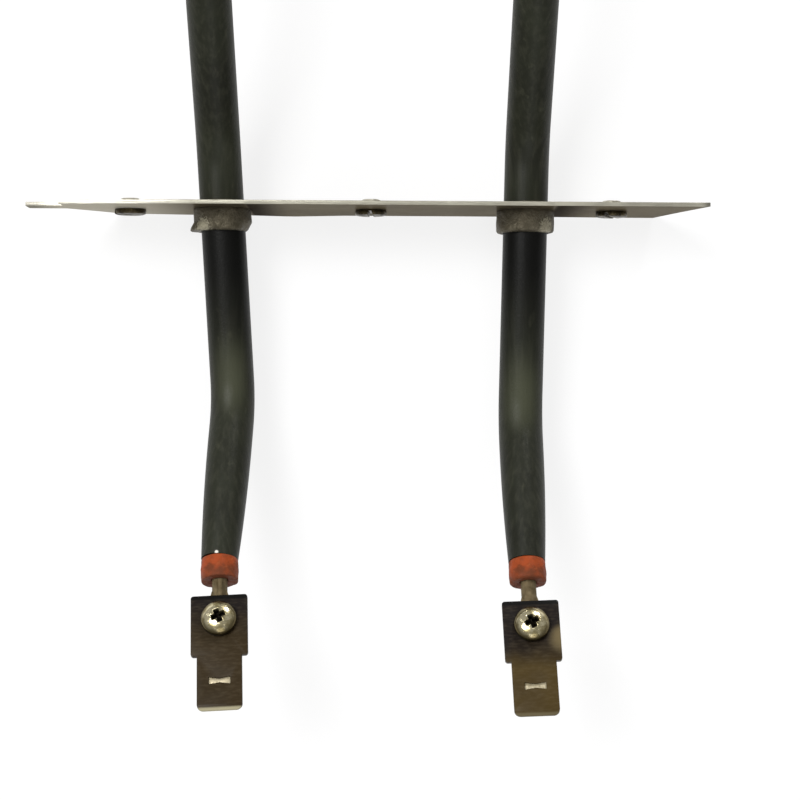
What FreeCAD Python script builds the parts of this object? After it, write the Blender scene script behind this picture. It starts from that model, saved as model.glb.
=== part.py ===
import FreeCAD, Part
import os
from math import ceil, cos, degrees, pi, radians, sin, tan
from FreeCAD import Placement, Rotation, Vector

# Tubular heating element: a hairpin of sheathed heating tube held by a thin mounting plate.
# Millimetres. +Y runs from the plate towards the heated loop, +X is the right leg's side
# and +Z is up, the side on which the tab screws have their heads.
# The origin is the middle of the plate's seat face, the face that lies on the wall.

# Sheath tube
tube_od = 6.5
tube_wall = 0.6
swage_length = 19.0
swage_nose_length = 7.0
swage_nose_od = 6.0
swage_end_od = 5.3

# Where the legs run: the kink on the terminal side, the rise behind the plate, the level loop
left_leg_x = -21.95
right_leg_x = 22.85
left_kink_inset = 1.5
right_kink_inset = 0.7
left_kink_reach = 29.0
right_kink_reach = 31.3
kink_drop = 2.1
left_end_straight = 2.6
right_end_straight = 0.5
left_end_splay = 2.67
right_end_splay = 0.97
terminal_slope = 27.3
rise_start = 9.0
rise_run = 27.5
rise_height = 17.9
loop_outset = 0.95
loop_reach = 200.0
kink_radius = 13.0
rise_radius = 15.0

# What the sheath holds. Hidden surfaces follow the bends in short straight runs, each turning
# by no more than the step, and the powder and coil have flat-sided sections.
hidden_bend_step = 16.0
fill_sides = 16
coil_sides = 12
pin_diameter = 2.2
coil_wire = 0.4
cold_length_past_rise = 14.0
coil_overlap = 5.0
packing_gap = 0.02

# End seals
seal_diameter = 5.4
seal_length = 3.0
seal_plug_depth = 4.0
seal_edge = 0.35

# Tabs, screwed to the flattened pin ends
tab_thickness = 0.8
tab_body_width = 8.0
tab_body_length = 9.0
blade_width = 6.3
blade_length = 7.9
blade_corner = 0.9
blade_bevel_length = 0.8
blade_bevel_depth = 0.22
tab_edge_radius = 0.4
blade_slot_length = 3.0
blade_slot_width = 1.05
blade_slot_waist = 0.6
blade_slot_setback = 4.3
left_tab_start = 5.9
right_tab_start = 6.45
left_terminal_lean = 2.6
right_terminal_lean = 1.9
palm_width = 4.8
palm_thickness = 1.0
palm_lead = 0.9
tab_screw_setback = 3.7

# Tab screws and nuts
tab_screw_diameter = 2.5
tab_screw_head_diameter = 5.1
tab_screw_head_height = 1.9
tab_screw_head_edge = 0.9
recess_width = 0.75
recess_span = 2.9
recess_depth = 1.15
recess_turn = 20.0
tab_screw_tail = 0.5
tab_nut_flats = 5.0
tab_nut_height = 2.0

# Mounting plate
plate_thickness = 0.6
plate_height = 18.0
plate_left = 44.7
plate_right = 48.8
plate_right_slant = 6.0
plate_left_slant_run = 6.5
plate_left_slant_top = 1.0
tongue_length = 5.5
tongue_low = 1.0
tongue_high = 4.5

# Plate screws
plate_screw_pitch = 35.5
plate_screw_diameter = 3.0
plate_screw_shoulder = 3.6
plate_screw_head_diameter = 5.0
plate_screw_head_height = 1.15
plate_screw_head_edge = 0.55
plate_screw_tail = 1.3
plate_screw_tip_edge = 0.4
plate_slot_width = 0.7
plate_slot_depth = 0.5

# Collars pressed round the legs, each with a neck that is flared into the plate's hole
collar_diameter = 8.7
collar_length = 3.3
collar_edge = 0.35
collar_neck_diameter = 7.7
collar_flare = 0.4
collar_lip_height = 0.65
bite_width = 1.9
bite_depth = 0.45
bite_count = 4
left_bite_angle = 25.0
right_bite_angle = 170.0

# Clearances
collar_gap = 0.03
collar_hole_gap = 0.12
pin_gap = 0.03
seal_gap = 0.03
screw_gap = 0.1
thread_gap = 0.02

x_axis = Vector(1, 0, 0)
y_axis = Vector(0, 1, 0)
z_axis = Vector(0, 0, 1)
tube_radius = tube_od / 2
bore_radius = tube_radius - tube_wall
pin_radius = pin_diameter / 2
coil_inner_radius = pin_radius + packing_gap
coil_outer_radius = coil_inner_radius + coil_wire
flat_share = cos(pi / coil_sides)
coil_bore_corner = coil_inner_radius / flat_share
shortest_run = 0.001
plate_middle_y = -plate_thickness / 2


def of_side(side, left_value, right_value):
    """Pick the value that belongs to one leg."""
    return left_value if side == "left" else right_value


def leg_corners(side):
    """The corners of one leg's axis: its open end, the kink and both ends of the rise."""
    inward = of_side(side, 1, -1)
    plate_x = of_side(side, left_leg_x, right_leg_x)
    kink_reach = of_side(side, left_kink_reach, right_kink_reach)
    kink_inset = of_side(side, left_kink_inset, right_kink_inset)
    straight = of_side(side, left_end_straight, right_end_straight)
    splay = radians(of_side(side, left_end_splay, right_end_splay))
    kink = Vector(plate_x + inward * kink_inset, -kink_reach, -kink_drop)
    slope = (plate_x - kink.x) / (plate_middle_y - kink.y)
    lift = kink_drop / (plate_middle_y - kink.y)
    rise_y = rise_start - plate_middle_y
    rise = Vector(plate_x + slope * rise_y, rise_start, lift * rise_y)
    outward = Vector(-inward * tan(splay), -1, tan(radians(terminal_slope))).normalize()
    turn = kink.sub(rise).getAngle(outward)
    end = kink.add(outward * (kink_radius * tan(turn / 2) + straight + swage_length))
    level_x = plate_x - inward * loop_outset
    level = Vector(level_x, rise_start + rise_run, rise_height)
    return [end, kink, rise, level]


def towards(start, target, distance):
    """A point on the line from one point towards another."""
    return start.add(target.sub(start).normalize() * distance)


def hairpin(left, right):
    """The corners of an axis that runs from the left leg through the loop to the right leg."""
    crown_y = loop_reach - tube_radius
    left_top = Vector(left[-1].x, crown_y, left[-1].z)
    right_top = Vector(right[-1].x, crown_y, right[-1].z)
    return left + [left_top, right_top] + right[::-1]


def hairpin_radii(leg_radii):
    """The bend radii of a hairpin: each leg's own bends, and the two quarters of the loop."""
    width = leg_corners("right")[-1].x - leg_corners("left")[-1].x
    return leg_radii + [width / 2, width / 2] + leg_radii[::-1]


def full_axis():
    """The sheath's corners and bend radii, from one drawn-down end to the other."""
    legs = []
    for side in ("left", "right"):
        end, kink, rise, level = leg_corners(side)
        legs.append([towards(end, kink, swage_length), kink, rise, level])
    return hairpin(*legs), hairpin_radii([kink_radius, rise_radius, rise_radius])


def on_rise(side, distance):
    """A point on the rising run, measured from where the rise begins."""
    end, kink, rise, level = leg_corners(side)
    return towards(rise, level, distance)


def heated_axis(distance):
    """The corners and radii between two points on the rising runs, through the loop."""
    legs = [[on_rise(side, distance), leg_corners(side)[-1]] for side in ("left", "right")]
    return hairpin(*legs), hairpin_radii([rise_radius])


def tab_start(side):
    """Distance from the tube's end to the tab's inner edge."""
    return of_side(side, left_tab_start, right_tab_start)


def pin_axis(side):
    """The pin's corners and radii, from inside the sheath to the start of its palm."""
    end, kink, rise, level = leg_corners(side)
    tip = terminal_place(side).multVec(Vector(0, tab_start(side) - packing_gap, 0))
    inner = on_rise(side, cold_length_past_rise)
    return [inner, rise, kink, end, tip], [rise_radius, kink_radius, kink_radius]


def curved_path(corners, radii):
    """Straight runs between the corners, joined by tangent arcs."""
    edges = []
    last = corners[0]
    for before, corner, after, radius in zip(corners, corners[1:], corners[2:], radii):
        turn = corner.sub(before).getAngle(after.sub(corner))
        first = towards(corner, before, radius * tan(turn / 2))
        second = towards(corner, after, radius * tan(turn / 2))
        crown = towards(corner, first.add(second) * 0.5, radius / cos(turn / 2) - radius)
        if first.distanceToPoint(last) > shortest_run:
            edges.append(Part.LineSegment(last, first).toShape())
        edges.append(Part.Arc(first, crown, second).toShape())
        last = second
    edges.append(Part.LineSegment(last, corners[-1]).toShape())
    return Part.Wire(edges)


def stepped_path(corners, radii):
    """The same bends as short straight runs, each touching the bend's arc."""
    points = [corners[0]]
    for before, corner, after, radius in zip(corners, corners[1:], corners[2:], radii):
        ahead = corner.sub(before).normalize()
        turn = ahead.getAngle(after.sub(corner))
        inner = after.sub(corner).normalize().sub(ahead * cos(turn)).normalize()
        centre = corner.sub(ahead * (radius * tan(turn / 2))).add(inner * radius)
        steps = ceil(degrees(turn) / hidden_bend_step)
        reach = radius / cos(turn / steps / 2)
        for step in range(steps):
            angle = turn * (step + 0.5) / steps
            points.append(centre.add(ahead * (reach * sin(angle))).sub(inner * (reach * cos(angle))))
    points.append(corners[-1])
    return Part.makePolygon(points)


def facing(origin, heading):
    """A placement whose local Y axis points along the heading, with local X kept level."""
    forward = Vector(heading).normalize()
    across = forward.cross(z_axis).normalize()
    up = across.cross(forward)
    return Placement(origin, Rotation(across, forward, up, "YXZ"))


def ring_section(start, heading, radius, sides):
    """A section across a path: a circle, or a shape with flat sides and its corners on one."""
    if sides == 0:
        return Part.Wire(Part.makeCircle(radius, start, heading))
    place = facing(start, heading)
    corners = []
    for number in range(sides + 1):
        angle = 2 * pi * number / sides
        corners.append(place.multVec(Vector(radius * cos(angle), 0, radius * sin(angle))))
    return Part.makePolygon(corners)


def curved_rod(axis, radius):
    """A round rod swept along an axis with true arcs."""
    path = curved_path(*axis)
    corners = axis[0]
    section = ring_section(corners[0], corners[1].sub(corners[0]), radius, 0)
    return path.makePipeShell([section], True, False)


def stepped_rod(axis, radius, sides=0):
    """A rod swept along an axis in short straight runs, mitred where they meet."""
    path = stepped_path(*axis)
    corners = axis[0]
    section = ring_section(corners[0], corners[1].sub(corners[0]), radius, sides)
    mitred = 1
    return path.makePipeShell([section], True, False, mitred)


def turned(profile, place):
    """A solid of revolution about its local Y axis from an outline's corners, put in place."""
    points = [Vector(x, y, 0) for x, y in profile]
    face = Part.Face(Part.makePolygon(points + points[:1]))
    solid = face.revolve(Vector(0, 0, 0), y_axis, 360)
    solid.Placement = place.multiply(solid.Placement)
    return solid


def swage_radius(along):
    """Outer radius of the drawn-down end, along from the open end, negative inside the tube."""
    nose_radius = swage_nose_od / 2
    end_radius = swage_end_od / 2
    if along > -swage_nose_length:
        return end_radius - (nose_radius - end_radius) * along / swage_nose_length
    share = (along + swage_length) / (swage_length - swage_nose_length)
    return tube_radius + (nose_radius - tube_radius) * share


def swaged_piece(inset, low, high, place):
    """A turned piece that follows both tapers of the drawn-down end, inset from its outside."""
    levels = [low, high]
    if low < -swage_nose_length < high:
        levels = [low, -swage_nose_length, high]
    outline = [(swage_radius(along) - inset, along) for along in levels]
    return turned([(0, low)] + outline + [(0, high)], place)


def end_place(side):
    """The frame of a leg's open end, local Y pointing out of the tube."""
    end, kink, rise, level = leg_corners(side)
    return facing(end, end.sub(kink))


def terminal_place(side):
    """The frame of the pin, tab and screw: local Y outwards, local Z up through the tab."""
    end = leg_corners(side)[0]
    lean = radians(of_side(side, left_terminal_lean, right_terminal_lean))
    slope = radians(terminal_slope)
    heading = Vector(sin(lean), -cos(lean) * cos(slope), cos(lean) * sin(slope))
    return facing(end, heading)


def sheath_tube():
    """One continuous tube with both ends drawn down round their seals."""
    outside = [curved_rod(full_axis(), tube_radius)]
    inside = [stepped_rod(full_axis(), bore_radius)]
    for side in ("left", "right"):
        place = end_place(side)
        outside.append(swaged_piece(0, -swage_length, 0, place))
        inside.append(swaged_piece(tube_wall, -swage_length, 0, place))
    return outside[0].fuse(outside[1:]).cut(inside).removeSplitter()


def resistance_coil():
    """The heating coil, wound close on the pins' ends, as the sleeve that its turns fill."""
    axis = heated_axis(cold_length_past_rise - coil_overlap)
    outside = stepped_rod(axis, coil_outer_radius, coil_sides)
    return outside.cut(stepped_rod(axis, coil_bore_corner, coil_sides))


def pin_channel(side):
    """The flat-sided way through the powder and seal that the pin lies in."""
    return stepped_rod(pin_axis(side), (pin_radius + pin_gap) / flat_share, coil_sides)


def insulation_fill():
    """The packed powder: a sleeve between sheath and coil, and a core inside the coil."""
    column = [stepped_rod(full_axis(), bore_radius - packing_gap, fill_sides)]
    for side in ("left", "right"):
        inset = tube_wall + packing_gap
        column.append(swaged_piece(inset, -swage_length, -seal_plug_depth, end_place(side)))
    coil_axis = heated_axis(cold_length_past_rise - coil_overlap - packing_gap)
    channels = [stepped_rod(coil_axis, coil_outer_radius + packing_gap, coil_sides)]
    for side in ("left", "right"):
        channels.append(pin_channel(side))
    core_axis = heated_axis(cold_length_past_rise + packing_gap)
    core = stepped_rod(core_axis, coil_bore_corner - packing_gap, coil_sides)
    return Part.Compound([column[0].fuse(column[1:]).cut(channels), core])


def palm(side):
    """The pin's flattened end, with an eye for the screw."""
    start = tab_start(side)
    eye_y = start + tab_screw_setback
    half = palm_thickness / 2
    low = Vector(0, 0, -half)
    disc = Part.makeCylinder(palm_width / 2, palm_thickness, Vector(0, eye_y, -half))
    neck = [
        Vector(-pin_radius, start - palm_lead, 0).add(low),
        Vector(pin_radius, start - palm_lead, 0).add(low),
        Vector(palm_width / 2, eye_y, 0).add(low),
        Vector(-palm_width / 2, eye_y, 0).add(low),
    ]
    blank = Part.Face(Part.makePolygon(neck + neck[:1])).extrude(Vector(0, 0, palm_thickness))
    eye_radius = tab_screw_diameter / 2 + screw_gap
    eye = Part.makeCylinder(eye_radius, 3 * palm_thickness, Vector(0, eye_y, -3 * half))
    shape = blank.fuse(disc).cut(eye)
    shape.Placement = terminal_place(side)
    return shape


def terminal_pin(side):
    """A round pin from the coil's start to the tab, flattened into a palm at its outer end."""
    return stepped_rod(pin_axis(side), pin_radius).fuse(palm(side)).removeSplitter()


def end_seal(side):
    """A soft sleeve that closes the tube round the pin, with a plug inside the tube."""
    radius = seal_diameter / 2
    root = -tube_wall
    profile = [
        (0, root),
        (radius, root),
        (radius, seal_length - seal_edge),
        (radius - seal_edge, seal_length),
        (0, seal_length),
    ]
    sleeve = turned(profile, terminal_place(side))
    tube_end = Part.makeCylinder(tube_od, tube_od, Vector(0, seal_gap - tube_od, 0), y_axis)
    tube_end.Placement = end_place(side)
    inset = tube_wall + seal_gap
    plug = swaged_piece(inset, seal_gap - seal_plug_depth, seal_edge, end_place(side))
    return sleeve.cut(tube_end).fuse(plug).cut(pin_channel(side))


def tab_outline(side):
    """The stepped outline of a tab, with rounded corners at the body and the blade's tip."""
    start = tab_start(side)
    tip = start + tab_body_length + blade_length
    body = tab_body_width / 2
    blade = blade_width / 2
    face = Part.makeBox(tab_body_width, tab_body_length, tab_thickness, Vector(-body, start, 0))
    length = blade_length + tab_thickness
    strip = Part.makeBox(blade_width, length, tab_thickness, Vector(-blade, tip - length, 0))
    tip_edges = []
    for edge in strip.Edges:
        upright = abs(edge.BoundBox.ZLength - tab_thickness) < 0.01
        if upright and abs(edge.CenterOfMass.y - tip) < 0.01:
            tip_edges.append(edge)
    strip = strip.makeFillet(blade_corner, tip_edges)
    body_edges = [edge for edge in face.Edges if abs(edge.BoundBox.ZLength - tab_thickness) < 0.01]
    face = face.makeFillet(tab_edge_radius, body_edges)
    return face.fuse(strip).removeSplitter()


def blade_bevel(tip, top):
    """A wedge that bevels one face of the blade's tip."""
    sign = 1 if top else -1
    face_z = tab_thickness if top else 0
    corners = [
        Vector(0, tip - blade_bevel_length, face_z),
        Vector(0, tip + blade_bevel_length, face_z),
        Vector(0, tip + blade_bevel_length, face_z - 2 * sign * blade_bevel_depth),
    ]
    wedge = Part.Face(Part.makePolygon(corners + corners[:1]))
    wedge = wedge.extrude(Vector(2 * blade_width, 0, 0))
    wedge.translate(Vector(-blade_width, 0, 0))
    return wedge


def blade_slot(tip):
    """The waisted slot punched through the blade."""
    centre = tip - blade_slot_setback
    half = blade_slot_length / 2
    end = blade_slot_width / 2
    waist = blade_slot_waist / 2
    corners = [
        Vector(-half, centre - end, 0),
        Vector(0, centre - waist, 0),
        Vector(half, centre - end, 0),
        Vector(half, centre + end, 0),
        Vector(0, centre + waist, 0),
        Vector(-half, centre + end, 0),
    ]
    slot = Part.Face(Part.makePolygon(corners + corners[:1]))
    slot.translate(Vector(0, 0, -tab_thickness))
    return slot.extrude(Vector(0, 0, 3 * tab_thickness))


def tab(side):
    """A push-on tab: a wide body for the screw, a narrower blade for the connector."""
    tip = tab_start(side) + tab_body_length + blade_length
    eye_y = tab_start(side) + tab_screw_setback
    eye_radius = tab_screw_diameter / 2 + screw_gap
    eye = Part.makeCylinder(eye_radius, 3 * tab_thickness, Vector(0, eye_y, -tab_thickness))
    shape = tab_outline(side)
    shape = shape.cut([eye, blade_slot(tip), blade_bevel(tip, True), blade_bevel(tip, False)])
    shape.translate(Vector(0, 0, palm_thickness / 2))
    shape.Placement = terminal_place(side).multiply(shape.Placement)
    return shape


def bevelled(diameter, height, edge):
    """The outline of a turned head or stud end, seated at zero, with its far edge bevelled."""
    radius = diameter / 2
    return [(0, 0), (radius, 0), (radius, height - edge), (radius - edge, height), (0, height)]


def tab_screw(side):
    """The cross-recessed screw that clamps tab and palm between its head and a nut."""
    seat = palm_thickness / 2 + tab_thickness
    tail = seat + palm_thickness / 2 + tab_nut_height + tab_screw_tail
    upright = Placement(Vector(0, 0, 0), Rotation(x_axis, 90))
    head_sizes = (tab_screw_head_diameter, tab_screw_head_height, tab_screw_head_edge)
    head = turned(bevelled(*head_sizes), upright)
    shank = Part.makeCylinder(tab_screw_diameter / 2, tail, Vector(0, 0, -tail))
    floor = tab_screw_head_height - recess_depth
    wings = []
    for turn in (0, 90):
        corner = Vector(-recess_span / 2, -recess_width / 2, floor)
        wing = Part.makeBox(recess_span, recess_width, 2 * recess_depth, corner)
        wing.rotate(Vector(0, 0, 0), z_axis, turn + recess_turn)
        wings.append(wing)
    shape = head.fuse(shank).cut(wings)
    shape.translate(Vector(0, tab_start(side) + tab_screw_setback, seat))
    shape.Placement = terminal_place(side).multiply(shape.Placement)
    return shape


def tab_nut(side):
    """The hexagon nut under the palm."""
    corner_radius = tab_nut_flats / 2 / cos(pi / 6)
    corners = []
    for step in range(7):
        angle = pi / 3 * step
        corners.append(Vector(corner_radius * cos(angle), corner_radius * sin(angle), 0))
    blank = Part.Face(Part.makePolygon(corners)).extrude(Vector(0, 0, tab_nut_height))
    thread_radius = tab_screw_diameter / 2 + thread_gap
    bore = Part.makeCylinder(thread_radius, 3 * tab_nut_height, Vector(0, 0, -tab_nut_height))
    shape = blank.cut(bore)
    drop = -palm_thickness / 2 - tab_nut_height
    shape.translate(Vector(0, tab_start(side) + tab_screw_setback, drop))
    shape.Placement = terminal_place(side).multiply(shape.Placement)
    return shape


def leg_at(side, y):
    """Where a leg's axis is at a stated distance from the seat face."""
    end, kink, rise, level = leg_corners(side)
    share = (y - kink.y) / (rise.y - kink.y)
    return kink.add(rise.sub(kink) * share)


def collar_centre(side):
    """Where the leg's axis passes through the middle of the plate."""
    return leg_at(side, plate_middle_y)


def collar(side):
    """A steel collar pressed round the leg, its neck flared over in the plate's hole."""
    centre = collar_centre(side)
    radius = collar_diameter / 2
    neck = collar_neck_diameter / 2
    lip = neck + collar_flare
    foot = -plate_thickness - collar_length
    profile = [
        (0, foot),
        (radius - collar_edge, foot),
        (radius, foot + collar_edge),
        (radius, -plate_thickness),
        (neck, -plate_thickness),
        (neck, -collar_flare),
        (lip, 0),
        (neck, collar_lip_height),
        (0, collar_lip_height),
    ]
    place = Placement(Vector(centre.x, 0, centre.z), Rotation())
    body = turned(profile, place)
    low = leg_at(side, foot - tube_od)
    heading = leg_at(side, tube_od).sub(low)
    cuts = [Part.makeCylinder(tube_radius + collar_gap, heading.Length, low, heading)]
    first = of_side(side, left_bite_angle, right_bite_angle)
    for number in range(bite_count):
        bite = Part.makeBox(radius, 2 * bite_depth, bite_width)
        bite.translate(Vector(radius - bite_depth, foot - bite_depth, -bite_width / 2))
        bite.rotate(Vector(0, 0, 0), y_axis, first + number * 360 / bite_count)
        bite.translate(Vector(centre.x, 0, centre.z))
        cuts.append(bite)
    return body.cut(cuts)


def plate_outline():
    """The plate's outline on the seat face: a tongue at the left, slanted ends."""
    top = plate_height / 2
    bottom = -plate_height / 2
    tongue_x = -plate_left - tongue_length
    corners = [
        (-plate_left, top),
        (plate_right, top),
        (plate_right - plate_right_slant, bottom),
        (-plate_left + plate_left_slant_run, bottom),
        (-plate_left, plate_left_slant_top),
        (tongue_x, tongue_low),
        (tongue_x, tongue_high),
        (-plate_left, tongue_high),
    ]
    points = [Vector(x, 0, z) for x, z in corners]
    return Part.Face(Part.makePolygon(points + points[:1]))


def plate_screw_places():
    """Where the three screws stand on the seat face."""
    names = ("left", "middle", "right")
    return {name: Vector(step * plate_screw_pitch, 0, 0) for name, step in zip(names, (-1, 0, 1))}


def mounting_plate():
    """A thin sheet plate, with countersunk holes for the collars and plain ones for its screws."""
    blank = plate_outline().extrude(Vector(0, -plate_thickness, 0))
    cuts = []
    for side in ("left", "right"):
        centre = collar_centre(side)
        hole = collar_neck_diameter / 2 + collar_hole_gap
        rim = hole + collar_flare
        profile = [
            (0, -2 * plate_thickness),
            (hole, -2 * plate_thickness),
            (hole, -collar_flare),
            (rim, 0),
            (rim, plate_thickness),
            (0, plate_thickness),
        ]
        cuts.append(turned(profile, Placement(Vector(centre.x, 0, centre.z), Rotation())))
    for place in plate_screw_places().values():
        start = place.sub(Vector(0, 2 * plate_thickness, 0))
        radius = plate_screw_shoulder / 2 + thread_gap
        cuts.append(Part.makeCylinder(radius, 3 * plate_thickness, start, y_axis))
    return blank.cut(cuts)


def plate_screw(name):
    """A slotted screw: head on the terminal side, shoulder in the plate, stud past the seat."""
    place = plate_screw_places()[name]
    behind = place.sub(Vector(0, plate_thickness, 0))
    flip = Placement(behind, Rotation(z_axis, 180))
    head_sizes = (plate_screw_head_diameter, plate_screw_head_height, plate_screw_head_edge)
    head = turned(bevelled(*head_sizes), flip)
    shoulder = Part.makeCylinder(plate_screw_shoulder / 2, plate_thickness, behind, y_axis)
    stud_sizes = (plate_screw_diameter, plate_screw_tail, plate_screw_tip_edge)
    stud = turned(bevelled(*stud_sizes), Placement(place, Rotation()))
    slot_size = 2 * plate_screw_head_diameter
    bottom = -plate_screw_head_height + plate_slot_depth - slot_size
    slot = Part.makeBox(plate_slot_width, slot_size, slot_size)
    slot.translate(behind.add(Vector(-plate_slot_width / 2, bottom, -slot_size / 2)))
    return head.fuse([shoulder, stud]).cut(slot)


def build():
    """Every piece by its node name."""
    pieces = {
        "sheath_tube": sheath_tube(),
        "insulation_fill": insulation_fill(),
        "resistance_coil": resistance_coil(),
        "mounting_plate": mounting_plate(),
    }
    for side in ("left", "right"):
        pieces["terminal_pin_" + side] = terminal_pin(side)
        pieces["end_seal_" + side] = end_seal(side)
        pieces["tab_" + side] = tab(side)
        pieces["tab_screw_" + side] = tab_screw(side)
        pieces["tab_nut_" + side] = tab_nut(side)
        pieces["collar_" + side] = collar(side)
    for name in plate_screw_places():
        pieces["plate_screw_" + name] = plate_screw(name)
    return pieces


os.makedirs("parts", exist_ok=True)
for node, shape in build().items():
    shape.exportStep("parts/" + node + ".step")
    print(node, shape.isValid(), len(shape.Solids), round(shape.Volume, 2))
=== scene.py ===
from math import ceil, cos, floor, hypot, pi, radians, sin, sqrt, tan

import bmesh
import bpy
from mathutils import Matrix, Vector, noise


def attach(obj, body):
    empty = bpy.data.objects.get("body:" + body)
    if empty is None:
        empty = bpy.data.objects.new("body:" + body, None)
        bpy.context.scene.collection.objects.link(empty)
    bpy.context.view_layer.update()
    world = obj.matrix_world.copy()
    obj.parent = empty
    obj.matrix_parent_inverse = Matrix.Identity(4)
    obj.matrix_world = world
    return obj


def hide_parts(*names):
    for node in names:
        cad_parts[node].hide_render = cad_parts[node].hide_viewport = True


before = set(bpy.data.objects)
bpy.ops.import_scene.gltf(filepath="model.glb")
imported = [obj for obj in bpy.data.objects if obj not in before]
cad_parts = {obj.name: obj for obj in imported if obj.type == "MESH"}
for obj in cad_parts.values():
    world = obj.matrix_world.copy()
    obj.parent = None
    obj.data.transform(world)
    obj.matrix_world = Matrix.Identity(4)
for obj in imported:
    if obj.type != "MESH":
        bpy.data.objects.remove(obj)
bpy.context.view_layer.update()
scene = bpy.context.scene
scene.view_settings.view_transform = "Standard"

# Camera
# The element lies on a pale table and is seen from straight above, a little to the
# terminal side of its plate, so that the plate is edge-on and shows a sliver of its face.
def add_object(name, data):
    """A new object with its data, put into the scene."""
    piece = bpy.data.objects.new(name, data)
    scene.collection.objects.link(piece)
    return piece


mm = 0.001
camera_x, camera_y, camera_height = 4.3, -28.6, 300.0
pixels_per_mm = 6.77
frame_pixels = 800
sensor = 36.0
camera = bpy.data.cameras.new("overhead_camera")
camera.sensor_width = sensor
camera.lens = sensor * camera_height / (frame_pixels / pixels_per_mm)
camera.clip_start = 10 * mm
camera_object = add_object("overhead_camera", camera)
camera_object.location = Vector((camera_x, camera_y, camera_height)) * mm
scene.camera = camera_object


# Table, lamps and room
# A white table top that keeps the element's soft shadow, a large soft lamp from the upper
# left, a weaker one from the terminal side, a small low one that sparkles on the screw heads,
# and a plain white room.
def paint(code):
    """A colour as it is written for screens, turned into the linear values that nodes take."""
    values = [int(code[at:at + 2], 16) / 255 for at in (1, 3, 5)]
    linear = [v / 12.92 if v <= 0.04045 else ((v + 0.055) / 1.055) ** 2.4 for v in values]
    return (*linear, 1.0)


def add_node(tree, kind, sockets=None, **settings):
    """A node with its settings, and its sockets given values or linked to other sockets."""
    node = tree.nodes.new(kind)
    for label, value in settings.items():
        setattr(node, label, value)
    for label, value in (sockets or {}).items():
        socket = node.inputs[label]
        if isinstance(value, bpy.types.NodeSocket):
            tree.links.new(value, socket)
        else:
            socket.default_value = value
    return node


def calculate(tree, operation, first, second=0.0, third=0.0):
    """The result of one Math node."""
    sockets = {0: first, 1: second, 2: third}
    return add_node(tree, "ShaderNodeMath", sockets, operation=operation).outputs[0]


def seen_directly(tree):
    """A mask that is 1 for what the camera sees, straight, in gloss or through glass."""
    path = add_node(tree, "ShaderNodeLightPath").outputs
    largest = path["Is Camera Ray"]
    for name in ("Is Glossy Ray", "Is Transmission Ray"):
        largest = calculate(tree, "MAXIMUM", largest, path[name])
    return largest


table_level = -9.25
table_glow = 0.8
room_strength = 0.5
table = bpy.data.meshes.new("table_top")
reach = 3.0
corners = [(-reach, -reach), (reach, -reach), (reach, reach), (-reach, reach)]
table.from_pydata([(x, y, table_level * mm) for x, y in corners], [], [(0, 1, 2, 3)])
table_object = add_object("table_top", table)
table_paint = bpy.data.materials.new("white_table")
table_paint.use_nodes = True
tree = table_paint.node_tree
tree.nodes.clear()
matt = add_node(tree, "ShaderNodeBsdfDiffuse", {"Color": (0.97, 0.97, 0.97, 1)})
glow = add_node(tree, "ShaderNodeEmission")
share = calculate(tree, "MULTIPLY", seen_directly(tree), table_glow)
sockets = {0: share, 1: matt.outputs[0], 2: glow.outputs[0]}
blend = add_node(tree, "ShaderNodeMixShader", sockets)
add_node(tree, "ShaderNodeOutputMaterial", {"Surface": blend.outputs[0]})
table.materials.append(table_paint)

room = bpy.data.worlds.new("white_room")
room.use_nodes = True
scene.world = room
tree = room.node_tree
tree.nodes.clear()
dim = add_node(tree, "ShaderNodeBackground", {"Strength": room_strength})
bright = add_node(tree, "ShaderNodeBackground", {"Strength": 1.0})
direct = add_node(tree, "ShaderNodeLightPath").outputs["Is Camera Ray"]
sockets = {0: direct, 1: dim.outputs[0], 2: bright.outputs[0]}
pick = add_node(tree, "ShaderNodeMixShader", sockets)
add_node(tree, "ShaderNodeOutputWorld", {"Surface": pick.outputs[0]})


def soft_lamp(name, place, aim, size, power):
    """A square area lamp that shines from a place towards a point."""
    light = bpy.data.lights.new(name, "AREA")
    light.size = size
    light.energy = power
    lamp = add_object(name, light)
    lamp.location = place
    lamp.rotation_euler = (Vector(aim) - Vector(place)).to_track_quat("-Z", "Y").to_euler()


soft_lamp("key_lamp", (-0.35, 0.25, 0.75), (0, 0, 0), 0.35, 6.0)
soft_lamp("fill_lamp", (0.1, -0.55, 0.7), (0, -0.03, 0), 0.5, 2.0)
soft_lamp("glint_lamp", (0.2, 0.55, 0.17), (0, -0.06, 0.02), 0.15, 1.8)


# Sheath tube
# One drawn steel tube, bent to a hairpin: two legs with a kink on the terminal side and a
# rise behind the plate. Both ends are drawn down, and the whole tube is annealed dark.
sides = ("left", "right")
legs = {
    "left": {
        "plate_x": -21.95, "inward": 1, "inset": 1.5, "reach": 29.0,
        "straight": 2.6, "splay": 2.67, "lean": 2.6, "tab_start": 5.9,
    },
    "right": {
        "plate_x": 22.85, "inward": -1, "inset": 0.7, "reach": 31.3,
        "straight": 0.5, "splay": 0.97, "lean": 1.9, "tab_start": 6.45,
    },
}
tube_radius = 3.25
tube_wall = 0.6
swage_length = 19.0
swage_depth = 0.6
kink_drop = 2.1
kink_radius = 13.0
rise_radius = 15.0
terminal_slope = radians(27.3)
plate_middle_y = -0.3
rise_start = 9.0
rise_run = 27.5
rise_height = 17.9
loop_outset = 0.95
loop_reach = 200.0


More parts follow.
